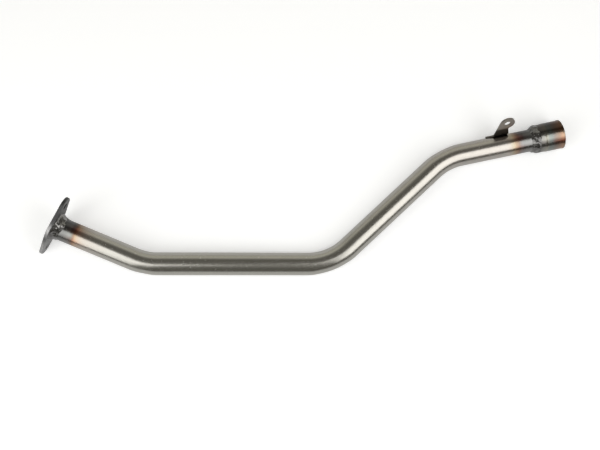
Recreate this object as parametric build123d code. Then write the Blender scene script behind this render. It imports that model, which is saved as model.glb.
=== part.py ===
from build123d import *

import os
from math import acos, atan2, cos, radians, sin, sqrt

os.makedirs("parts", exist_ok=True)

# Exhaust link pipe, in millimetres, +Z up. It lies on the floor as it comes to rest: on the lower
# lobe of its flange, the middle bend of its tube and the rim of its outlet sleeve. +X runs along
# the middle run towards the outlet, and +Y towards the side that both ends bend to. The origin is
# on the floor, at the middle of the footprint.

# Bent tube: runs are measured between the corners of the centre line, turns are in degrees
TUBE_OD = 32.0
TUBE_WALL = 1.5
BEND_RADIUS = 85.0
INLET_RUN = 132.2
MIDDLE_RUN = 259.5
DIAGONAL_RUN = 222.5
OUTLET_RUN = 174.0
INLET_TURN = 22.6
MIDDLE_TURN = 42.9
OUTLET_TURN = 30.7

# Inlet flange: a two-bolt plate, clocked about the tube and welded on a little out of square
PLATE_THICKNESS = 5.0
PLATE_EDGE_BREAK = 0.8
BOLT_SPACING = 72.0
BOLT_HOLE = 9.0
LOBE_RADIUS = 12.5
PLATE_WAIST_RADIUS = 24.0
PLATE_CLOCKING = 31.0
PLATE_TILT = 7.3
FLANGE_WELD_LEG = 5.0
FLANGE_WELD_CROWN = 3.0
FLANGE_WELD_CLIMB = 8.5

# Outlet sleeve: a slip-on socket, flared at its mouth and swaged down to a neck on the tube
SOCKET_OVER_TUBE = 6.2
SOCKET_BORE = TUBE_OD + SOCKET_OVER_TUBE
SLEEVE_WALL = 1.5
MOUTH_FLARE = 0.6
MOUTH_FLARE_LENGTH = 4.0
SOCKET_DEPTH = 27.0
SOCKET_STOP_STEP = 0.5
SOCKET_STOP_LENGTH = 1.5
SLEEVE_BODY_LENGTH = 34.0
SHOULDER_LENGTH = 6.0
NECK_LENGTH = 2.0
TUBE_IN_SHOULDER = 2.0
SLEEVE_WELD_TOE = 3.0
SLEEVE_WELD_LAP = 2.5
SLEEVE_WELD_CROWN_PAST_BODY = 5.0
SLEEVE_WELD_CROWN_DROP = 0.6

# Hanger bracket: a folded sheet, its foot welded along the tube and its ear standing off it
BRACKET_SHEET = 2.5
BRACKET_FROM_MOUTH = 78.0
FOOT_LENGTH = 31.0
FOOT_FULL_LENGTH = 16.0
FOOT_BELOW_SEAT = 7.0
FOOT_ABOVE_SEAT = 7.0
FOOT_ANGLE = 5.0
FOOT_SEAT_DEPTH = 0.3
FOOT_TIP_HEIGHT = 4.0
FOOT_CORNER = 1.5
EAR_FOLD = 34.0
EAR_FOLD_RADIUS = 4.0
EAR_WIDTH = 21.0
EAR_REACH = 22.5
EAR_LEAN = 5.5
EAR_HEAD_RADIUS = 10.6
EAR_NECK_HEIGHT = 8.0
EAR_NECK_INSET = 1.5
EAR_CORNER = 2.0
HANGER_HOLE = 9.0
BRACKET_WELD_LENGTH = 16.0
BRACKET_WELD_RADIUS = 3.0
BRACKET_WELD_FROM_EAR = 8.5

tube_radius = TUBE_OD / 2
UP = Vector(0, 0, 1)


def heading(angle):
    """Unit vector in the plane of the bends, at an angle from the middle run."""
    return Vector(cos(radians(angle)), sin(radians(angle)), 0)


# Centre line, in the plane of the bends, with the middle corner at its origin
inlet_axis = heading(-INLET_TURN)
outlet_axis = heading(MIDDLE_TURN - OUTLET_TURN)
middle_corner = Vector(0, 0, 0)
inlet_corner = middle_corner - heading(0) * MIDDLE_RUN
outlet_corner = middle_corner + heading(MIDDLE_TURN) * DIAGONAL_RUN
plate_seat = inlet_corner - inlet_axis * INLET_RUN
mouth = outlet_corner + outlet_axis * OUTLET_RUN

# Local frames: the flange's inner face, and the sleeve's mouth looking back into the tube
plate_normal = heading(-INLET_TURN - PLATE_TILT)
plate_across = UP.cross(plate_normal)
plate_long = plate_across * cos(radians(PLATE_CLOCKING)) + UP * sin(radians(PLATE_CLOCKING))
plate_frame = Plane(origin=plate_seat, x_dir=plate_long, z_dir=plate_normal)
mouth_frame = Plane(origin=mouth, x_dir=UP, z_dir=outlet_axis * -1)

sleeve_length = SLEEVE_BODY_LENGTH + SHOULDER_LENGTH + NECK_LENGTH


def straight_rod(start, direction, length):
    """The outside of the tube along a straight stretch, for cutting seats."""
    return extrude(Plane(origin=start, z_dir=direction) * Circle(tube_radius), amount=length)


inlet_rod = straight_rod(plate_seat - inlet_axis * INLET_RUN / 2, inlet_axis, INLET_RUN)
outlet_rod = straight_rod(mouth, outlet_axis * -1, OUTLET_RUN)


def make_bent_tube():
    """One tube with three bends of one radius, cut flush with the flange's gasket face."""
    start = plate_seat - inlet_axis * PLATE_THICKNESS * 2
    end = mouth - outlet_axis * (SLEEVE_BODY_LENGTH + SHOULDER_LENGTH - TUBE_IN_SHOULDER)
    path = FilletPolyline(
        start, inlet_corner, middle_corner, outlet_corner, end, radius=BEND_RADIUS
    )
    section = Circle(tube_radius) - Circle(tube_radius - TUBE_WALL)
    tube = sweep(Plane(origin=start, z_dir=inlet_axis) * section, path=path)
    gasket_face = plate_frame.offset(-PLATE_THICKNESS)
    return split(tube, bisect_by=gasket_face, keep=Keep.TOP)


def make_inlet_flange():
    """A two-bolt plate: straight flanks from a round waist to two lobes, bored for the tube."""
    bolt_places = [Pos(-BOLT_SPACING / 2, 0), Pos(BOLT_SPACING / 2, 0)]
    rounds = [Circle(PLATE_WAIST_RADIUS)] + [place * Circle(LOBE_RADIUS) for place in bolt_places]
    outline = make_hull([circle.edge() for circle in rounds])
    plate = extrude(outline, amount=-PLATE_THICKNESS)
    rims = plate.faces().filter_by(Axis.Z).edges()
    plate = chamfer(rims, PLATE_EDGE_BREAK)
    for place in bolt_places:
        plate -= place * Cylinder(BOLT_HOLE / 2, PLATE_THICKNESS * 3)
    return plate_frame.location * plate - inlet_rod


def make_flange_weld():
    """The fillet bead round the tube on the flange's inner face."""
    root = tube_radius - FLANGE_WELD_LEG / 2
    toe = (tube_radius + FLANGE_WELD_LEG, 0)
    crown = (tube_radius + FLANGE_WELD_CROWN, FLANGE_WELD_CROWN)
    surface = ThreePointArc(toe, crown, (root, FLANGE_WELD_CLIMB))
    closing = Polyline((root, FLANGE_WELD_CLIMB), (root, 0), toe)
    bead = revolve(Plane.XZ * make_face([surface, *closing.edges()]), axis=Axis.Z)
    return plate_frame.location * bead - inlet_rod


def sleeve_line(offset):
    """The sleeve's bore line, or with the wall's thickness as offset its outer line."""
    socket = SOCKET_BORE / 2 + offset
    body = socket - SOCKET_STOP_STEP
    neck = tube_radius + offset
    stop_end = SOCKET_DEPTH + SOCKET_STOP_LENGTH
    shoulder_end = SLEEVE_BODY_LENGTH + SHOULDER_LENGTH
    shoulder_middle = SLEEVE_BODY_LENGTH + SHOULDER_LENGTH / 2
    straight = Polyline(
        (socket + MOUTH_FLARE, 0),
        (socket, MOUTH_FLARE_LENGTH),
        (socket, SOCKET_DEPTH),
        (body, stop_end),
        (body, SLEEVE_BODY_LENGTH),
    )
    shoulder = Bezier(
        (body, SLEEVE_BODY_LENGTH),
        (body, shoulder_middle),
        (neck, shoulder_middle),
        (neck, shoulder_end),
    )
    neck_line = Line((neck, shoulder_end), (neck, sleeve_length))
    return [*straight.edges(), shoulder, neck_line]


def ends_of_sleeve(inner_offset, outer_offset):
    """The two end lines that close a wall between two offsets of the sleeve line."""
    mouth_bore = SOCKET_BORE / 2 + MOUTH_FLARE
    mouth_end = Line((mouth_bore + inner_offset, 0), (mouth_bore + outer_offset, 0))
    neck_end = Line(
        (tube_radius + inner_offset, sleeve_length), (tube_radius + outer_offset, sleeve_length)
    )
    return [mouth_end, neck_end]


def make_outlet_sleeve():
    """A thin socket whose bore takes the silencer's inlet, necked down onto the tube."""
    lines = sleeve_line(0) + sleeve_line(SLEEVE_WALL) + ends_of_sleeve(0, SLEEVE_WALL)
    return mouth_frame.location * revolve(Plane.XZ * make_face(lines), axis=Axis.Z)


def sleeve_outside():
    """The sleeve as if it were solid, for cutting the bead that lies on it."""
    outer = sleeve_line(SLEEVE_WALL)
    mouth_radius = SOCKET_BORE / 2 + SLEEVE_WALL + MOUTH_FLARE
    neck_radius = tube_radius + SLEEVE_WALL
    core = Polyline((mouth_radius, 0), (0, 0), (0, sleeve_length), (neck_radius, sleeve_length))
    face = make_face([*outer, *core.edges()])
    return mouth_frame.location * revolve(Plane.XZ * face, axis=Axis.Z)


def make_sleeve_weld():
    """The heavy bead that fills the neck of the sleeve and runs out onto the tube."""
    body_radius = SOCKET_BORE / 2 + SLEEVE_WALL - SOCKET_STOP_STEP
    root = tube_radius - SLEEVE_WALL
    toe_end = sleeve_length + SLEEVE_WELD_TOE
    lap_end = SLEEVE_BODY_LENGTH - SLEEVE_WELD_LAP
    crown_place = SLEEVE_BODY_LENGTH + SLEEVE_WELD_CROWN_PAST_BODY
    surface = Spline(
        (body_radius - SLEEVE_WALL / 2, lap_end),
        (body_radius - SLEEVE_WELD_CROWN_DROP, crown_place),
        (root, toe_end),
    )
    closing = Polyline(surface @ 1, (root, lap_end), surface @ 0)
    bead = revolve(Plane.XZ * make_face([surface, *closing.edges()]), axis=Axis.Z)
    return mouth_frame.location * bead - sleeve_outside() - outlet_rod


# Bracket frame: on the tube's side, x towards the inlet, y up the foot and z out of the tube
across_outlet = UP.cross(outlet_axis)
foot_normal = across_outlet * cos(radians(FOOT_ANGLE)) + UP * sin(radians(FOOT_ANGLE))
foot_seat = mouth - outlet_axis * BRACKET_FROM_MOUTH + foot_normal * (tube_radius - FOOT_SEAT_DEPTH)
foot_frame = Plane(origin=foot_seat, x_dir=outlet_axis * -1, z_dir=foot_normal)
fold_height = BRACKET_SHEET + EAR_FOLD_RADIUS
ear_place = (
    Pos(0, FOOT_ABOVE_SEAT, fold_height) * Rot(X=EAR_FOLD) * Pos(0, 0, -fold_height)
)


def tangent_point(outside, centre, radius):
    """Where a line from an outside point touches a circle, on the side away from the outlet."""
    gap = centre - outside
    turn = acos(radius / gap.length)
    angle = atan2(-gap.Y, -gap.X) + turn
    return centre + Vector(radius * cos(angle), radius * sin(angle))


def make_foot():
    """The pointed foot, a flat strip that lies along the tube."""
    foot_outline = Polyline(
        (0, -FOOT_BELOW_SEAT),
        (FOOT_FULL_LENGTH, -FOOT_BELOW_SEAT),
        (FOOT_LENGTH, -FOOT_TIP_HEIGHT / 2),
        (FOOT_LENGTH, FOOT_TIP_HEIGHT / 2),
        (EAR_WIDTH, FOOT_ABOVE_SEAT),
        (0, FOOT_ABOVE_SEAT),
        (0, -FOOT_BELOW_SEAT),
    )
    foot = make_face(foot_outline)
    foot = fillet(foot.vertices().group_by(Axis.X)[-1], FOOT_CORNER)
    return extrude(foot, amount=BRACKET_SHEET)


def make_fold():
    """The bend between foot and ear, at the sheet's bend radius."""
    strip = Plane.XZ.offset(-FOOT_ABOVE_SEAT) * Pos(EAR_WIDTH / 2, BRACKET_SHEET / 2)
    fold_line = Axis((0, FOOT_ABOVE_SEAT, fold_height), (1, 0, 0))
    return revolve(strip * Rectangle(EAR_WIDTH, BRACKET_SHEET), axis=fold_line, revolution_arc=EAR_FOLD)


def make_ear():
    """The ear: a tapered stem that leans to the outlet, with a round head and one hole."""
    head_centre = Vector(EAR_WIDTH / 2 - EAR_LEAN, EAR_REACH)
    base_far = Vector(EAR_WIDTH, 0)
    head_touch = tangent_point(base_far, head_centre, EAR_HEAD_RADIUS)
    neck = Vector(EAR_NECK_INSET, EAR_NECK_HEIGHT)
    stem = make_face(Polyline((0, 0), base_far, head_touch, head_centre, neck, (0, 0)))
    outline = stem + Pos(head_centre) * Circle(EAR_HEAD_RADIUS)
    by_neck = outline.vertices().sort_by_distance(neck)[:2]
    outline = fillet(by_neck, EAR_CORNER)
    hole = Pos(head_centre) * Circle(HANGER_HOLE / 2)
    return ear_place * extrude(outline - hole, amount=BRACKET_SHEET)


def make_hanger_bracket():
    """One folded sheet: foot, fold and ear, the foot shaped to sit on the tube."""
    sheet = make_foot() + make_fold() + make_ear()
    return foot_frame.location * sheet - outlet_rod


def make_bracket_weld(bracket):
    """The bead along the foot's lower edge."""
    bead = Rot(Y=90) * Cylinder(BRACKET_WELD_RADIUS, BRACKET_WELD_LENGTH)
    for end in (-1, 1):
        bead += Pos(end * BRACKET_WELD_LENGTH / 2, 0) * Sphere(BRACKET_WELD_RADIUS)
    seam = Pos(BRACKET_WELD_FROM_EAR, -FOOT_BELOW_SEAT, -FOOT_SEAT_DEPTH)
    return foot_frame.location * seam * bead - outlet_rod - bracket


def resting_frame(points, reaches):
    """The floor under three points that stand at given heights above it, as a plane."""
    first = points[1] - points[0]
    second = points[2] - points[0]
    along = first.normalized()
    upright = first.cross(second).normalized()
    across = upright.cross(along)
    rise_along = (reaches[1] - reaches[0]) / first.length
    rise_across = (reaches[2] - reaches[0] - rise_along * second.dot(along)) / second.dot(across)
    lift = sqrt(1 - rise_along**2 - rise_across**2)
    normal = along * rise_along + across * rise_across + upright * lift
    if normal.Z < 0:
        normal = along * rise_along + across * rise_across - upright * lift
    origin = points[0] - normal * reaches[0]
    return Plane(origin=origin, x_dir=heading(0) - normal * heading(0).dot(normal), z_dir=normal)


# The three places that touch the floor, and how far each is from the point that is named
lower_lobe = plate_seat - plate_long * BOLT_SPACING / 2
bend_inset = BEND_RADIUS / cos(radians(MIDDLE_TURN / 2)) - BEND_RADIUS
bend_middle = middle_corner + heading(90 + MIDDLE_TURN / 2) * bend_inset
mouth_radius = SOCKET_BORE / 2 + MOUTH_FLARE + SLEEVE_WALL
floor = resting_frame(
    [lower_lobe, bend_middle, mouth], [LOBE_RADIUS, tube_radius, mouth_radius]
)

bracket = make_hanger_bracket()
pieces = {
    "bent_tube": make_bent_tube(),
    "inlet_flange": make_inlet_flange(),
    "flange_weld": make_flange_weld(),
    "outlet_sleeve": make_outlet_sleeve(),
    "sleeve_weld": make_sleeve_weld(),
    "hanger_bracket": bracket,
    "bracket_weld": make_bracket_weld(bracket),
}

lying = floor.location.inverse()
footprint = Compound([lying * piece for piece in pieces.values()]).bounding_box()
centre = footprint.center()
place = Pos(-centre.X, -centre.Y, -footprint.min.Z) * lying

for name, piece in pieces.items():
    export_step(place * piece, f"parts/{name}.step")
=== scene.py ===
import math

import bmesh
import bpy
from mathutils import Matrix, Quaternion, Vector, noise
from mathutils.geometry import interpolate_bezier


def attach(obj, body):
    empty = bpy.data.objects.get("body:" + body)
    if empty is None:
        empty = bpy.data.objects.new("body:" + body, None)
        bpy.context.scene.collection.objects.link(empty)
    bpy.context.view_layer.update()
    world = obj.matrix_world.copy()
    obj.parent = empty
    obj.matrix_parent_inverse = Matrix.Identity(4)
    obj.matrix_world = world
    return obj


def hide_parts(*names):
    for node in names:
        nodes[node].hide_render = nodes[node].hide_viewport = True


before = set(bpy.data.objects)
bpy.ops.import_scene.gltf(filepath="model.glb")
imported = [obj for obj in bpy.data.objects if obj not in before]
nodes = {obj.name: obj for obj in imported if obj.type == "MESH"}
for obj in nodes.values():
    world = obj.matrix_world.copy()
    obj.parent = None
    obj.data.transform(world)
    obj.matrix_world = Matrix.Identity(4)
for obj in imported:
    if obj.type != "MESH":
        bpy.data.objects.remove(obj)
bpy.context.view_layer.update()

# Exhaust link pipe: its looks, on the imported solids. Lengths are in metres and places are in the
# row frame, unless a comment says millimetres.
MM = 0.001

# Camera, fitted to the outlines in the photograph
CAMERA_AT = Vector((-0.0684, -0.2248, 1.2978))
CAMERA_FORWARD = Vector((0.04587, 0.14203, -0.9888))
CAMERA_ROLL = math.radians(-0.382)
LENS_MM = 55.0
SENSOR_MM = 36.0
FAR_CLIP = 50.0

# Centre line of the tube: its seat on the flange, its three corners and the sleeve's mouth
SEAT = Vector((-0.346409, -0.045496, 0.032859))
INLET_CORNER = Vector((-0.224586, -0.096091, 0.024143))
MIDDLE_CORNER = Vector((0.034767, -0.096091, 0.01539))
OUTLET_CORNER = Vector((0.198128, 0.054746, 0.023608))
MOUTH = Vector((0.368214, 0.091366, 0.021201))
BEND_RADIUS = 0.085
TUBE_RADIUS = 0.01597
TUBE_BORE = 0.0145
TUBE_FROM_MOUTH = 0.038
inlet_axis = (INLET_CORNER - SEAT).normalized()
outlet_axis = (MOUTH - OUTLET_CORNER).normalized()
upright = inlet_axis.cross(outlet_axis).normalized()
inlet_across = upright.cross(inlet_axis)
outlet_across = upright.cross(outlet_axis)

# Flange plate and bracket: how the plate faces and lies, and the middle of the bracket's foot
PLATE_NORMAL = Vector((0.86488, -0.496437, -0.074378))
PLATE_LONG = Vector((0.446615, 0.693355, 0.565503))
PLATE_THICKNESS = 0.005
FOOT_SEAT = Vector((0.288758, 0.09005, 0.025138))
FOOT_NORMAL = Vector((-0.204498, 0.961795, 0.182018))

# Noise in the finishes as (scale, detail, roughness), and bumps as (strength, depth)
EDGE_NOISE = (70, 2, 0.5)
GLOSS_NOISE = (220, 4, 0.7)
PITTED_NOISE = (900, 4, 0.7)
PITTED_BUMP = (0.12, 0.0002)
BRUSHED_NOISE = (1.0, 4, 0.7)
BRUSHED_BUMP = (0.06, 0.0001)
MOTTLE_DETAIL = (3, 0.6)
MOTTLE_DARK = 0.3
MOTTLE_LIGHT = 0.7
NOISE_MIDDLE = 0.5


def new_material(name):
    """A Principled material with its node tree, links and shader."""
    material = bpy.data.materials.new(name)
    material.use_nodes = True
    tree = material.node_tree
    return material, tree, tree.nodes["Principled BSDF"]


def position_node(tree):
    """The surface's place in the row frame, which is the object's own frame."""
    return tree.nodes.new("ShaderNodeTexCoord").outputs["Object"]


def distance_along(tree, start, axis, scale):
    """How far a point is along an axis from a start point, times scale."""
    away = tree.nodes.new("ShaderNodeVectorMath")
    away.operation = "SUBTRACT"
    tree.links.new(position_node(tree), away.inputs[0])
    away.inputs[1].default_value = start
    dot = tree.nodes.new("ShaderNodeVectorMath")
    dot.operation = "DOT_PRODUCT"
    tree.links.new(away.outputs["Vector"], dot.inputs[0])
    dot.inputs[1].default_value = axis * scale
    return dot.outputs["Value"]


def noise_node(tree, scale, detail, roughness, vector=None):
    """Noise over the surface's place, or over another coordinate."""
    node = tree.nodes.new("ShaderNodeTexNoise")
    node.inputs["Scale"].default_value = scale
    node.inputs["Detail"].default_value = detail
    node.inputs["Roughness"].default_value = roughness
    tree.links.new(vector or position_node(tree), node.inputs["Vector"])
    return node.outputs["Fac"]


def ramp(tree, value, stops):
    """A colour ramp over (place, colour) stops."""
    node = tree.nodes.new("ShaderNodeValToRGB")
    elements = node.color_ramp.elements
    while len(elements) < len(stops):
        elements.new(1)
    for element, (place, colour) in zip(elements, stops):
        element.position = place
        element.color = (*colour, 1)
    tree.links.new(value, node.inputs["Fac"])
    return node.outputs["Color"]


def math_node(tree, operation, first, second):
    """One operation on two values, each a socket or a number."""
    node = tree.nodes.new("ShaderNodeMath")
    node.operation = operation
    for socket, value in zip(node.inputs, (first, second)):
        if isinstance(value, (int, float)):
            socket.default_value = value
        else:
            tree.links.new(value, socket)
    return node.outputs["Value"]


def multiply(tree, first, second):
    """The product of two colours."""
    node = tree.nodes.new("ShaderNodeMix")
    node.data_type = "RGBA"
    node.blend_type = "MULTIPLY"
    node.inputs["Factor"].default_value = 1
    tree.links.new(first, node.inputs["A"])
    tree.links.new(second, node.inputs["B"])
    return node.outputs["Result"]


def add_bump(tree, shader, height, strength, depth):
    """Relief too fine for the mesh."""
    bump = tree.nodes.new("ShaderNodeBump")
    bump.inputs["Strength"].default_value = strength
    bump.inputs["Distance"].default_value = depth
    tree.links.new(height, bump.inputs["Height"])
    tree.links.new(bump.outputs["Normal"], shader.inputs["Normal"])


def vary_roughness(tree, shader, value, low, high):
    """Gloss that varies between two roughnesses with a value from 0 to 1."""
    spread = tree.nodes.new("ShaderNodeMapRange")
    spread.inputs["To Min"].default_value = low
    spread.inputs["To Max"].default_value = high
    tree.links.new(value, spread.inputs["Value"])
    tree.links.new(spread.outputs["Result"], shader.inputs["Roughness"])


def stretched(tree, vector, scale):
    """A coordinate scaled along its own axes, for grain that runs one way."""
    node = tree.nodes.new("ShaderNodeMapping")
    node.inputs["Scale"].default_value = scale
    tree.links.new(vector, node.inputs["Vector"])
    return node.outputs["Vector"]


def by_distance(tree, start, axis, stops, waver):
    """A ramp over (distance in millimetres, colour) stops along an axis, with an uneven edge."""
    first = stops[0][0]
    reach = stops[-1][0] - first
    along = distance_along(tree, start + axis * first * MM, axis, 1 / (reach * MM))
    wave = math_node(tree, "SUBTRACT", noise_node(tree, *EDGE_NOISE), NOISE_MIDDLE)
    shifted = math_node(tree, "ADD", along, math_node(tree, "MULTIPLY", wave, 2 * waver / reach))
    return ramp(tree, shifted, [((distance - first) / reach, tint) for distance, tint in stops])


def greys(stops):
    """The same stops, with each level as a grey."""
    return [(distance, (level, level, level)) for distance, level in stops]


def film_and_painted_shade(tree, start, axis, across, darkening, amount, waver):
    """A veil that darkens the steel, for oxide films and for painted shade and painted reflection:
    how it darkens goes by across, and how much there is by axis.
    """
    veil = tree.nodes.new("ShaderNodeMix")
    veil.data_type = "RGBA"
    tree.links.new(by_distance(tree, start, axis, greys(amount), waver), veil.inputs["Factor"])
    veil.inputs["A"].default_value = (1, 1, 1, 1)
    tree.links.new(by_distance(tree, start, across, darkening, waver), veil.inputs["B"])
    return veil.outputs["Result"]


def steel(name, base, *, darkest, mottle, roughness, tints=(), films_and_painted_shade=(), grain=None, waver=1.2):
    """Satin steel: a base mottled down to a darkest share, tints and films of oxide with painted
    shade and painted reflection among them, and a fine relief.
    """
    material, tree, shader = new_material(name)
    shader.inputs["Metallic"].default_value = 1.0
    colour = ramp(tree, noise_node(tree, mottle, *MOTTLE_DETAIL), [
        (MOTTLE_DARK, tuple(darkest * c for c in base)),
        (MOTTLE_LIGHT, base),
    ])
    for start, axis, stops in tints:
        colour = multiply(tree, colour, by_distance(tree, start, axis, stops, waver))
    for start, axis, across, darkening, amount in films_and_painted_shade:
        veil = film_and_painted_shade(tree, start, axis, across, darkening, amount, waver)
        colour = multiply(tree, colour, veil)
    tree.links.new(colour, shader.inputs["Base Color"])
    vary_roughness(tree, shader, noise_node(tree, *GLOSS_NOISE), *roughness)
    if grain:
        uv = tree.nodes.new("ShaderNodeTexCoord").outputs["UV"]
        brushed = noise_node(tree, *BRUSHED_NOISE, stretched(tree, uv, grain))
        add_bump(tree, shader, brushed, *BRUSHED_BUMP)
    else:
        add_bump(tree, shader, noise_node(tree, *PITTED_NOISE), *PITTED_BUMP)
    return material


# Heat tint as multipliers of the bare steel, by how far in millimetres from the end of the pipe
INLET_TINT = [
    (0, (0.74, 0.74, 0.74)),
    (14, (0.76, 0.76, 0.78)),
    (18, (0.82, 0.82, 0.84)),
    (22, (0.96, 0.96, 0.97)),
    (24.5, (0.95, 0.96, 0.97)),
    (27, (0.80, 0.74, 0.69)),
    (29.5, (0.77, 0.53, 0.41)),
    (32.5, (0.98, 0.79, 0.61)),
    (35, (1.0, 0.84, 0.73)),
    (38, (0.98, 0.88, 0.80)),
    (43, (1.0, 0.93, 0.90)),
    (50, (1.0, 0.96, 0.95)),
    (80, (1.0, 1.0, 1.0)),
]
OUTLET_TINT = [
    (40, (0.95, 0.97, 1.0)),
    (58, (0.95, 0.97, 1.0)),
    (61, (0.90, 0.92, 0.96)),
    (64, (0.78, 0.75, 0.78)),
    (67, (0.74, 0.60, 0.53)),
    (70, (0.80, 0.63, 0.50)),
    (73, (0.92, 0.77, 0.60)),
    (76, (0.96, 0.90, 0.74)),
    (80, (0.98, 0.95, 0.90)),
    (86, (1.0, 1.0, 1.0)),
]
SLEEVE_TINT = [
    (0, (0.88, 0.68, 0.54)),
    (4, (0.93, 0.62, 0.46)),
    (7, (0.80, 0.56, 0.45)),
    (12, (0.64, 0.53, 0.48)),
    (15, (0.60, 0.54, 0.53)),
    (18, (0.57, 0.60, 0.62)),
    (21, (0.57, 0.64, 0.66)),
    (24, (0.64, 0.68, 0.68)),
    (27, (0.84, 0.83, 0.77)),
    (30, (0.72, 0.72, 0.72)),
    (34, (0.66, 0.66, 0.67)),
    (40, (0.50, 0.50, 0.50)),
]
# The warm cast that the outlet half of the tube has, by how far in millimetres along X
ORIGIN = Vector((0, 0, 0))
ALONG_X = Vector((1, 0, 0))
STRAW_TINT = [
    (60, (1.0, 1.0, 1.0)),
    (260, (1.0, 0.965, 0.97)),
]

# Oxide films by the welds, with painted reflection and painted shade in them. How they darken the
# steel goes by how far across the pipe, and how much of them there is by how far from the pipe's
# end, both in millimetres. The oxide and how far it reaches from each weld are real. Its bands
# across the pipe are painted reflection and painted shade: the steel is darker along the lines
# where it mirrors dark surroundings and over the side turned from the light, and it is maroon
# there.
TUBE_OXIDE_AND_PAINTED_SHADE = [
    (-16, (0.66, 0.68, 0.70)),
    (-9, (0.34, 0.35, 0.36)),
    (-4, (0.58, 0.60, 0.62)),
    (1, (0.56, 0.58, 0.60)),
    (6, (0.25, 0.26, 0.28)),
    (16, (0.34, 0.35, 0.37)),
]
INLET_OXIDE_AND_SHADE_REACH = [(0, 1.0), (25, 1.0), (28, 0.7), (31, 0.15), (35, 0.0)]
OUTLET_OXIDE_AND_SHADE_REACH = [(0, 1.0), (60, 1.0), (66, 0.6), (70, 0.3), (74, 0.12), (82, 0.0)]
# The oxide's maroon, painted into the same dark reflection bands across the pipe
MAROON_IN_PAINTED_REFLECTION = [
    (-16, (1.0, 1.0, 1.0)),
    (-9, (1.0, 0.80, 0.76)),
    (-4, (1.0, 1.0, 1.0)),
    (0, (1.0, 1.0, 1.0)),
    (3, (0.80, 0.46, 0.41)),
    (7, (0.66, 0.40, 0.40)),
    (12, (0.62, 0.58, 0.58)),
    (16, (0.60, 0.54, 0.52)),
]
INLET_MAROON_REFLECTION_REACH = [
    (15, 0.0), (22, 0.5), (25, 1.0), (31, 1.0), (36, 0.7), (40, 0.45), (46, 0.2), (56, 0.0),
]
OUTLET_MAROON_REFLECTION_REACH = [
    (50, 0.0), (58, 0.4), (61, 1.0), (67, 1.0), (71, 0.6), (76, 0.3), (90, 0.0),
]
# Across the sleeve, along its whole length: painted reflection and painted shade over its oxide,
# darkest along the lines where it mirrors dark surroundings and on the side turned from the light
SLEEVE_PAINTED_SHADE_BANDS = [
    (-21, (0.90, 0.90, 0.90)),
    (-14, (0.70, 0.70, 0.70)),
    (-9, (0.34, 0.33, 0.33)),
    (-5, (0.86, 0.86, 0.86)),
    (2, (0.86, 0.86, 0.86)),
    (7, (0.19, 0.18, 0.18)),
    (13, (0.28, 0.26, 0.26)),
    (21, (0.36, 0.33, 0.33)),
]
# The oxide's copper and maroon near the mouth, painted into the sleeve's dark reflection bands
COPPER_IN_PAINTED_REFLECTION = [
    (-21, (1.0, 1.0, 1.0)),
    (-15, (1.0, 1.0, 1.0)),
    (-11, (1.0, 0.50, 0.40)),
    (-7.5, (1.0, 0.88, 0.84)),
    (-4, (1.0, 1.0, 1.0)),
    (2, (1.0, 1.0, 1.0)),
    (6, (1.0, 0.70, 0.56)),
    (11, (1.0, 0.92, 0.88)),
    (21, (1.0, 1.0, 1.0)),
]
SLEEVE_COPPER_REFLECTION_REACH = [(0, 1.0), (8, 0.9), (14, 0.75), (17, 0.45), (20, 0.0)]

TUBE_STEEL = (0.43, 0.418, 0.386)
tube_steel = steel(
    "tube_steel", TUBE_STEEL, darkest=0.95, mottle=60, roughness=(0.22, 0.30),
    tints=[
        (ORIGIN, ALONG_X, STRAW_TINT),
        (SEAT, inlet_axis, INLET_TINT),
        (MOUTH, -outlet_axis, OUTLET_TINT),
    ],
    films_and_painted_shade=[
        (SEAT, inlet_axis, inlet_across, TUBE_OXIDE_AND_PAINTED_SHADE, INLET_OXIDE_AND_SHADE_REACH),
        (SEAT, inlet_axis, inlet_across, MAROON_IN_PAINTED_REFLECTION, INLET_MAROON_REFLECTION_REACH),
        (MOUTH, -outlet_axis, outlet_across, TUBE_OXIDE_AND_PAINTED_SHADE, OUTLET_OXIDE_AND_SHADE_REACH),
        (MOUTH, -outlet_axis, outlet_across, MAROON_IN_PAINTED_REFLECTION, OUTLET_MAROON_REFLECTION_REACH),
    ],
    grain=(900, 30, 1),
)
sleeve_steel = steel(
    "sleeve_steel", TUBE_STEEL, darkest=0.9, mottle=60, roughness=(0.20, 0.28),
    tints=[
        (MOUTH, -outlet_axis, SLEEVE_TINT),
        (MOUTH, outlet_across, SLEEVE_PAINTED_SHADE_BANDS),
    ],
    films_and_painted_shade=[(MOUTH, -outlet_axis, outlet_across, COPPER_IN_PAINTED_REFLECTION, SLEEVE_COPPER_REFLECTION_REACH)],
)

# Mill scale on the plate, by how far along it in millimetres, with painted highlight and painted
# shade on its rim: the rim is painted dark above and light in patches below, with a dark spot
# between, as its faces turn towards or from the lamps; its inner face is mottled grey and darker
# towards its upper end. The depths tell the rim from the face.
RIM_PAINTED_LIGHT_AND_SHADE = greys([
    (-48, 1.0), (-36, 0.92), (-28, 0.90), (-22, 0.68), (-18, 0.46), (-13, 0.28), (-7, 0.66),
    (-2, 0.86), (4, 0.92), (9, 0.70), (14, 0.24), (20, 0.15), (34, 0.15), (42, 0.19), (48, 0.20),
])
FACE_DARKER_UPWARD = greys([(-48, 0.75), (-26, 0.70), (-10, 0.50), (48, 0.44)])
RIM_DEPTHS = [(-6, 1.0), (-0.9, 1.0), (-0.2, 0.0), (1, 0.0)]
FACE_DEPTHS = [(-6, 0.0), (-0.9, 0.0), (-0.2, 1.0), (1, 1.0)]
FLANGE_STEEL = (0.495, 0.49, 0.495)
flange_steel = steel(
    "flange_steel", FLANGE_STEEL, darkest=0.7, mottle=250, roughness=(0.40, 0.55),
    films_and_painted_shade=[
        (SEAT, PLATE_NORMAL, PLATE_LONG, RIM_PAINTED_LIGHT_AND_SHADE, RIM_DEPTHS),
        (SEAT, PLATE_NORMAL, PLATE_LONG, FACE_DARKER_UPWARD, FACE_DEPTHS),
    ],
    waver=0.5,
)
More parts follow.
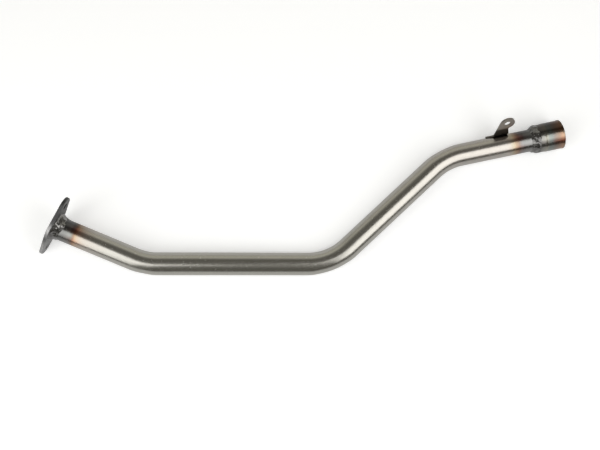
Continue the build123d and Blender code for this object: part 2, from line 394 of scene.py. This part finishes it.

# Painted shade on the bracket, by how high over the middle of the foot and how far off the tube in
# millimetres: dark on the foot's edge where it meets the tube and up the fold between the ear and
# the tube, lighter down the foot's outer face, and none on the ear. It is painted shade in that
# crease, not scorch.
FOLD_PAINTED_SHADE = [
    (-8, (0.62, 0.60, 0.58)),
    (3, (0.50, 0.48, 0.46)),
    (10, (0.16, 0.15, 0.14)),
    (20, (0.12, 0.11, 0.10)),
]
FOLD_PAINTED_SHADE_REACH = [(0, 0.0), (2.1, 0.0), (2.4, 1.0), (7.0, 1.0), (9.2, 0.1), (30, 0.0)]
FOOT_EDGE_PAINTED_SHADE = [
    (-8, (0.22, 0.21, 0.20)),
    (20, (0.16, 0.15, 0.14)),
]
FOOT_EDGE_PAINTED_SHADE_REACH = [(0, 1.0), (2.1, 1.0), (2.4, 0.0), (4, 0.0)]
BRACKET_STEEL = (0.32, 0.295, 0.27)
bracket_steel = steel(
    "bracket_steel", BRACKET_STEEL, darkest=0.85, mottle=60, roughness=(0.32, 0.42),
    films_and_painted_shade=[
        (FOOT_SEAT, FOOT_NORMAL, upright, FOLD_PAINTED_SHADE, FOLD_PAINTED_SHADE_REACH),
        (FOOT_SEAT, FOOT_NORMAL, upright, FOOT_EDGE_PAINTED_SHADE, FOOT_EDGE_PAINTED_SHADE_REACH),
    ],
    waver=0.3,
)

# The welds are dark, more so towards +X, by how far along X and across the pipe in millimetres.
# The flange's bead is also painted darker on the side towards the lamps than on the side turned
# from the light: painted light and shade, not scorch.
WELD_TINT = greys([(-250, 1.0), (0, 0.60)])
BEAD_SIDE_PAINTED_SHADE = greys([(-25, 0.60), (1, 0.60), (6, 1.0), (25, 1.0)])
BEAD_SIDE_PAINTED_SHADE_REACH = [(-10, 1.0), (40, 1.0), (60, 0.0)]
WELD_METAL = (0.40, 0.392, 0.384)
weld_metal = steel(
    "weld_metal", WELD_METAL, darkest=0.35, mottle=260, roughness=(0.16, 0.32),
    tints=[(ORIGIN, ALONG_X, WELD_TINT)],
    films_and_painted_shade=[(SEAT, inlet_axis, inlet_across, BEAD_SIDE_PAINTED_SHADE, BEAD_SIDE_PAINTED_SHADE_REACH)],
)

# Nodes that keep the solid's own mesh
FINISHES = {
    "inlet_flange": flange_steel,
    "hanger_bracket": bracket_steel,
    "bracket_weld": weld_metal,
}
for name, material in FINISHES.items():
    mesh = nodes[name].data
    mesh.materials.clear()
    mesh.materials.append(material)

SHARP_EDGE = math.radians(50)


def add_piece(name, mesh, node, material):
    """A visual mesh that stands in for one node of the row."""
    bmesh.ops.recalc_face_normals(mesh, faces=mesh.faces)
    data = bpy.data.meshes.new(name)
    mesh.to_mesh(data)
    mesh.free()
    data.set_sharp_from_angle(angle=SHARP_EDGE)
    data.materials.append(material)
    piece = bpy.data.objects.new(name, data)
    bpy.context.collection.objects.link(piece)
    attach(piece, "root")
    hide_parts(node)


def smooth(value):
    """0 to 1 with flat ends."""
    value = min(max(value, 0), 1)
    return value * value * (3 - 2 * value)


# Tube: the same line and section as the solid, with the bends drawn a little flat outside
STRAIGHT_STEP = 0.008
BEND_STEP = 0.0025
BEND_FADE = 0.022
BEND_FLATTENING = 0.05
TUBE_SIDES = 72


def straight_run(start, end):
    """Stations along a straight stretch, without its last point."""
    run = end - start
    way = run.normalized()
    count = math.ceil(run.length / STRAIGHT_STEP)
    return [(start + run * (i / count), way, upright.cross(way), 0) for i in range(count)]


def bend(bend_start, heading_in, inward, turn):
    """Stations round a bend, without its last point."""
    pivot = bend_start + inward * BEND_RADIUS
    length = BEND_RADIUS * turn
    count = math.ceil(length / BEND_STEP)
    stations = []
    for i in range(count):
        a = turn * i / count
        way = heading_in * math.cos(a) + inward * math.sin(a)
        spoke = inward * -math.cos(a) + heading_in * math.sin(a)
        into = min(i, count - i) * length / count
        stations.append((pivot + spoke * BEND_RADIUS, way, -spoke, smooth(into / BEND_FADE)))
    return stations


def centre_line():
    """Stations along the tube: place, heading, side the bend's centre is on, and flattening."""
    start = SEAT - inlet_axis * PLATE_THICKNESS
    end = MOUTH - outlet_axis * TUBE_FROM_MOUTH
    corners = [start, INLET_CORNER, MIDDLE_CORNER, OUTLET_CORNER, end]
    stations = []
    run_start = start
    for before, corner, after in zip(corners, corners[1:], corners[2:]):
        heading_in = (corner - before).normalized()
        heading_out = (after - corner).normalized()
        inward = (heading_out - heading_in * heading_in.dot(heading_out)).normalized()
        turn = heading_in.angle(heading_out)
        inset = BEND_RADIUS * math.tan(turn / 2)
        bend_start = corner - heading_in * inset
        stations += straight_run(run_start, bend_start)
        stations += bend(bend_start, heading_in, inward, turn)
        run_start = corner + heading_out * inset
    stations += straight_run(run_start, end)
    stations.append((end, outlet_axis, outlet_across, 0))
    return stations


def ring(station, radius):
    """One section of the tube, its outer half pressed in where the tube bends."""
    place, way, inward, flat = station
    side = upright.cross(way)
    ring_points = []
    for i in range(TUBE_SIDES):
        a = 2 * math.pi * i / TUBE_SIDES
        across = math.cos(a) * radius
        if flat and side.dot(inward) * across < 0:
            across *= 1 - BEND_FLATTENING * flat
        ring_points.append(place + side * across + upright * math.sin(a) * radius)
    return ring_points


def tube_wall(mesh, uv, stations, radius):
    """One wall of the tube. Its UV is how far along the tube, and how far round it as a share."""
    rings = [ring(station, radius) for station in stations]
    # The first ring is cut flush with the flange's gasket face
    gasket = SEAT - PLATE_NORMAL * PLATE_THICKNESS
    rings[0] = [
        p - inlet_axis * ((p - gasket).dot(PLATE_NORMAL) / inlet_axis.dot(PLATE_NORMAL))
        for p in rings[0]
    ]
    wall = [[mesh.verts.new(p) for p in points] for points in rings]
    travelled = 0.0
    for i in range(len(stations) - 1):
        reached = travelled + (stations[i + 1][0] - stations[i][0]).length
        for k in range(TUBE_SIDES):
            n = (k + 1) % TUBE_SIDES
            corners = [
                (wall[i][k], travelled, k),
                (wall[i + 1][k], reached, k),
                (wall[i + 1][n], reached, k + 1),
                (wall[i][n], travelled, k + 1),
            ]
            face = mesh.faces.new([vertex for vertex, _, _ in corners])
            face.smooth = True
            for loop, (_, along, turn) in zip(face.loops, corners):
                loop[uv].uv = (along, turn / TUBE_SIDES)
        travelled = reached
    return wall


def make_tube():
    """The tube: two walls and the two cut ends that join them."""
    stations = centre_line()
    mesh = bmesh.new()
    uv = mesh.loops.layers.uv.new("length_and_turn")
    outer, inner = [tube_wall(mesh, uv, stations, radius) for radius in (TUBE_RADIUS, TUBE_BORE)]
    for end in (0, -1):
        for k in range(TUBE_SIDES):
            n = (k + 1) % TUBE_SIDES
            mesh.faces.new([outer[end][k], outer[end][n], inner[end][n], inner[end][k]])
    add_piece("tube", mesh, "bent_tube", tube_steel)


make_tube()


def hoop(mesh, middle, across, upward, radius, sides):
    """A round of points in the plane of across and upward, its radius in millimetres."""
    turns = [2 * math.pi * k / sides for k in range(sides)]
    return [
        mesh.verts.new(middle + (across * math.cos(a) + upward * math.sin(a)) * radius * MM)
        for a in turns
    ]


def skin(mesh, hoops):
    """Faces from each hoop to the next, and from the last back to the first."""
    for here, there in zip(hoops, hoops[1:] + hoops[:1]):
        for k in range(len(here)):
            n = (k + 1) % len(here)
            mesh.faces.new([here[k], here[n], there[n], there[k]]).smooth = True


# Sleeve: the solid's profile as (distance from the mouth, radius) in millimetres, its edges and
# its stop step rounded, and its shoulder a little further back, where the bead hides it
SLEEVE_SIDES = 144
SLEEVE_OUTSIDE = [
    (0.0, 20.7), (0.15, 21.0), (0.5, 21.12), (1.2, 21.02), (2.5, 20.82), (4, 20.64), (6, 20.6),
    (26, 20.6), (26.8, 20.55), (27.6, 20.38), (28.4, 20.18), (29.4, 20.1), (35, 20.1),
    (36, 19.95), (37, 19.5), (38, 18.8), (39, 18.1), (40, 17.7), (41, 17.5), (42, 17.5),
]
SLEEVE_INSIDE = [
    (42, 16.0), (41, 16.0), (40, 16.2), (39, 16.6), (38, 17.3), (37, 18.0), (36, 18.45),
    (35, 18.6), (28.5, 18.6), (27, 19.1), (4, 19.1), (0.4, 19.62), (0.0, 19.9),
]
sleeve_mesh = bmesh.new()
skin(sleeve_mesh, [
    hoop(
        sleeve_mesh, MOUTH - outlet_axis * along * MM, outlet_across, upright, radius, SLEEVE_SIDES
    )
    for along, radius in SLEEVE_OUTSIDE + SLEEVE_INSIDE
])
add_piece("sleeve", sleeve_mesh, "outlet_sleeve", sleeve_steel)

# Welds: beads round the pipe, each a curve from its crown to its toe through (distance along,
# radius) in millimetres, rippled and lumpy. The line under it stays inside the metal it lies on.
FLANGE_BEAD = [(-0.5, 21.5), (2.5, 19.6), (5.0, 16.8), (12.5, 15.6)]
UNDER_FLANGE_BEAD = [(12.5, 15.2), (-0.5, 15.2)]
SLEEVE_BEAD = [(34.6, 19.9), (38.6, 21.2), (44.0, 18.3), (47.5, 15.6)]
UNDER_SLEEVE_BEAD = [
    (47.5, 15.2), (42.5, 15.4), (42, 16.1), (41, 16.7), (40, 16.95), (39, 17.35), (38, 18.0),
    (37, 18.8), (36, 19.2), (34.6, 19.3),
]
BEAD_ROWS = 40
BEAD_SIDES = 240
# How much of the curve calms down to each edge, how deep a dip may go in millimetres, the level
# about which the ripple swings, and how strong and how much finer the small lumps are
BEAD_CALM = 0.15
DEEPEST_DIP = 0.6
RIPPLE_LEVEL = 0.6
SMALL_LUMP = 0.2
SMALL_LUMP_SCALE = 2.7


def raw_bead(
    name, node, start, path, across, upward, curve, under,
    *, lean, lump, lump_size, ripple, pitch,
):
    """A bead whose middle moves along path, leaning out at its toe on the side away from across.

    lean, lump, lump_size, ripple and pitch are in millimetres.
    """
    first, handle, second_handle, last = [Vector((*point, 0)) for point in curve]
    mesh = bmesh.new()
    hoops = []
    for row, point in enumerate(interpolate_bezier(first, handle, second_handle, last, BEAD_ROWS)):
        t = row / (BEAD_ROWS - 1)
        free = smooth(min(t, 1 - t) / BEAD_CALM) * MM
        middle = start + path * point.x * MM
        points = hoop(mesh, middle, across, upward, point.y, BEAD_SIDES)
        for k, vertex in enumerate(points):
            a = 2 * math.pi * k / BEAD_SIDES
            out = (vertex.co - middle).normalized()
            vertex.co += path * lean * t * (1 - math.cos(a)) / 2 * MM
            place = vertex.co / (lump_size * MM)
            scallop = abs(math.sin(math.pi * (a * point.y + point.x) / pitch)) - RIPPLE_LEVEL
            lumps = noise.noise(place) + SMALL_LUMP * noise.noise(place * SMALL_LUMP_SCALE)
            vertex.co += out * max(ripple * scallop + lump * lumps, -DEEPEST_DIP) * free
        hoops.append(points)
    for along, radius in under:
        hoops.append(hoop(mesh, start + path * along * MM, across, upward, radius, BEAD_SIDES))
    skin(mesh, hoops)
    add_piece(name, mesh, node, weld_metal)


plate_across = PLATE_NORMAL.cross(upright).normalized()
raw_bead(
    "flange_bead", "flange_weld", SEAT, inlet_axis / inlet_axis.dot(PLATE_NORMAL),
    plate_across, plate_across.cross(PLATE_NORMAL), FLANGE_BEAD, UNDER_FLANGE_BEAD,
    lean=3.0, lump=1.5, lump_size=7.5, ripple=0.1, pitch=9.0,
)
raw_bead(
    "sleeve_bead", "sleeve_weld", MOUTH, -outlet_axis,
    outlet_across, upright, SLEEVE_BEAD, UNDER_SLEEVE_BEAD,
    lean=1.2, lump=1.3, lump_size=6.0, ripple=0.2, pitch=6.0,
)

# The short bead at the bracket's foot is the solid's, roughened
ROUGH_VOXEL = 0.0004
ROUGH_SIZE = 0.003
ROUGH_DEPTH = 0.0012
rough_texture = bpy.data.textures.new("lumps", "CLOUDS")
rough_texture.noise_scale = ROUGH_SIZE
remesh = nodes["bracket_weld"].modifiers.new("remesh", "REMESH")
remesh.mode = "VOXEL"
remesh.voxel_size = ROUGH_VOXEL
remesh.use_smooth_shade = True
displace = nodes["bracket_weld"].modifiers.new("displace", "DISPLACE")
displace.texture = rough_texture
displace.strength = ROUGH_DEPTH

# Floor: pale, lifted to white for the camera and a little in the metal
FLOOR_SIZE = 12
FLOOR_COLOUR = (0.90, 0.905, 0.92, 1)
FLOOR_ROUGHNESS = 0.9
FLOOR_SPECULAR = 0.1
LIFT_COLOUR = (1, 1, 1, 1)
LIFT_TO_CAMERA = 0.40
LIFT_IN_METAL = 0.1
bpy.ops.mesh.primitive_plane_add(size=FLOOR_SIZE)
floor = bpy.context.object
floor.name = "floor"
floor_material, tree, shader = new_material("floor")
shader.inputs["Base Color"].default_value = FLOOR_COLOUR
shader.inputs["Roughness"].default_value = FLOOR_ROUGHNESS
shader.inputs["Specular IOR Level"].default_value = FLOOR_SPECULAR
shader.inputs["Emission Color"].default_value = LIFT_COLOUR
rays = tree.nodes.new("ShaderNodeLightPath").outputs
to_camera = math_node(tree, "MULTIPLY", rays["Is Camera Ray"], LIFT_TO_CAMERA)
mirrored = math_node(tree, "MAXIMUM", rays["Is Glossy Ray"], rays["Is Transmission Ray"])
in_metal = math_node(tree, "MULTIPLY", mirrored, LIFT_IN_METAL)
tree.links.new(math_node(tree, "ADD", to_camera, in_metal), shader.inputs["Emission Strength"])
floor.data.materials.append(floor_material)

# World: a dim warm grey
WORLD_COLOUR = (0.165, 0.16, 0.14, 1)
world = bpy.data.worlds.new("studio")
bpy.context.scene.world = world
world.use_nodes = True
world.node_tree.nodes["Background"].inputs["Color"].default_value = WORLD_COLOUR


def panel(name, colour, *, azimuth, elevation, roll, distance, width, height, radiance):
    """A soft panel light that faces the middle of the pipe, rolled about its own middle."""
    light = bpy.data.lights.new(name, "AREA")
    light.shape = "RECTANGLE"
    light.size = width
    light.size_y = height
    light.energy = radiance * math.pi * width * height
    light.color = colour
    panel_object = bpy.data.objects.new(name, light)
    bpy.context.collection.objects.link(panel_object)
    a = math.radians(azimuth)
    e = math.radians(elevation)
    place = Vector((math.cos(a) * math.cos(e), math.sin(a) * math.cos(e), math.sin(e))) * distance
    panel_object.location = place
    rolled = Quaternion((0, 0, 1), math.radians(roll))
    panel_object.rotation_euler = (place.to_track_quat("Z", "Y") @ rolled).to_euler()


# Lamps: two softboxes that draw the bands along the tube, a weak fill between them, and a wide
# glow on the far side. Angles are in degrees.
SOFTBOX_COLOUR = (1.0, 1.0, 0.985)
GLOW_COLOUR = (1.0, 0.99, 0.88)
panel(
    "softbox_right", SOFTBOX_COLOUR, azimuth=-26.5, elevation=48.8, roll=-28,
    distance=1.3, width=0.78, height=1.25, radiance=2.25,
)
panel(
    "softbox_left", SOFTBOX_COLOUR, azimuth=-146, elevation=42, roll=5,
    distance=1.3, width=0.9, height=1.42, radiance=2.05,
)
panel(
    "softbox_gap", SOFTBOX_COLOUR, azimuth=-88, elevation=60, roll=0,
    distance=2.2, width=0.8, height=1.0, radiance=0.10,
)
panel(
    "backdrop_glow", GLOW_COLOUR, azimuth=90, elevation=18, roll=0,
    distance=2.4, width=4.0, height=2.2, radiance=0.46,
)
panel(
    "backdrop_top", GLOW_COLOUR, azimuth=90, elevation=34, roll=0,
    distance=2.4, width=3.6, height=1.7, radiance=0.10,
)

# Camera
camera_data = bpy.data.cameras.new("camera")
camera_data.lens = LENS_MM
camera_data.sensor_width = SENSOR_MM
camera_data.clip_end = FAR_CLIP
camera = bpy.data.objects.new("camera", camera_data)
bpy.context.collection.objects.link(camera)
level = CAMERA_FORWARD.cross(Vector((0, 1, 0))).normalized()
skyward = level.cross(CAMERA_FORWARD).normalized()
right = level * math.cos(CAMERA_ROLL) + skyward * math.sin(CAMERA_ROLL)
up = right.cross(CAMERA_FORWARD).normalized()
axes = Matrix((right, up, -CAMERA_FORWARD)).transposed().to_4x4()
camera.matrix_world = Matrix.Translation(CAMERA_AT) @ axes
bpy.context.scene.camera = camera

bpy.context.scene.view_settings.view_transform = "Standard"
